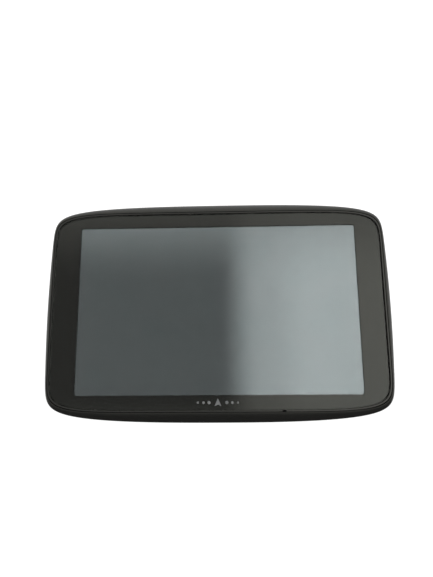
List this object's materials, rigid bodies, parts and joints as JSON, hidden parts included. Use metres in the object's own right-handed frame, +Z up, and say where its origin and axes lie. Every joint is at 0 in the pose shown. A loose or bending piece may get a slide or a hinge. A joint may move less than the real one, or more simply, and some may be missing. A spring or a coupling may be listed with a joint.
{
  "type": "portable gps navigator",
  "caption": "Portable road navigator: wide touch display under dark-rimmed cover glass in a slim rounded shell, with a round dock socket and contacts on the back.",
  "frame": {"origin": "centre of the dock socket's mouth, in the middle of the back", "axes": "upright in use: +Z up, the display faces -Y, +X is the viewer's right when looking at the display"},
  "size_m": [0.1636, 0.0235, 0.1044],
  "materials": {
    "shell_plastic": "fine spark texture, dark warm grey",
    "rim_plastic": "satin, dark grey",
    "cover_glass": "polished",
    "black_print": "screen printed black behind the glass",
    "adhesive_foam": "closed-cell foam",
    "sensor_film": "clear film",
    "ribbon": "polyimide ribbon",
    "lcd_face": "polarised grey",
    "light_guide": "white diffuser",
    "sheet_steel": "tinned sheet",
    "chassis_alloy": "die cast, tumbled",
    "screw_steel": "zinc plated",
    "board_laminate": "solder mask",
    "chip_resin": "moulded resin",
    "plated_shell": "nickel plated",
    "button_plastic": "satin black",
    "white_plastic": "natural nylon",
    "battery_foil": "pouch foil",
    "red_lead": "insulation",
    "black_lead": "insulation",
    "speaker_body": "moulded basket",
    "speaker_cloth": "woven acoustic cloth",
    "antenna_ceramic": "fired ceramic",
    "contact_gold": "gold plated",
    "boot_rubber": "moulded",
    "dock_plastic": "satin black"
  },
  "bodies": {
    "housing": {"front_bezel": "shell_plastic", "lens_frame": "rim_plastic", "cover_glass": "cover_glass", "mask_print": "black_print", "glass_tape": "adhesive_foam", "touch_sensor": "sensor_film", "touch_flex": "ribbon", "lcd_panel": "lcd_face", "backlight_unit": "light_guide", "lcd_tray": "sheet_steel", "lcd_flex": "ribbon", "chassis_plate": "chassis_alloy", "rim_screws": "screw_steel", "main_board": "board_laminate", "board_screws": "screw_steel", "processor_shield": "sheet_steel", "radio_shield": "sheet_steel", "processor_chip": "chip_resin", "memory_chips": "chip_resin", "power_chips": "chip_resin", "usb_connector": "plated_shell", "card_socket": "sheet_steel", "tact_switch": "sheet_steel", "battery": "battery_foil", "battery_pad": "adhesive_foam", "battery_plug": "white_plastic", "battery_leads": "red_lead", "speaker_driver": "speaker_body", "speaker_gasket": "adhesive_foam", "speaker_mesh": "speaker_cloth", "speaker_leads": "black_lead", "gps_antenna": "antenna_ceramic", "radio_antenna": "contact_gold", "microphone": "sheet_steel", "mic_boot": "boot_rubber", "rear_cover": "shell_plastic", "dock_plate": "dock_plastic", "dock_contacts": "contact_gold", "dock_magnets": "plated_shell", "dock_board": "board_laminate", "dock_flex": "ribbon", "case_screws": "screw_steel"},
    "button": {"power_button": "button_plastic"},
    "plunger": {"switch_plunger": "white_plastic"}
  },
  "joints": [
    {"name": "button_press", "type": "slide", "parent": "housing", "child": "button", "axis": [0, 0, -1], "range_m": [0, 0.0004], "stiffness_N_per_m": 800, "springref_m": -0.0005},
    {"name": "plunger_press", "type": "slide", "parent": "housing", "child": "plunger", "axis": [0, 0, -1], "range_m": [0, 0.0004]}
  ],
  "couplings": [
    {"joint": "plunger_press", "follows": "button_press", "ratio": 1}
  ]
}
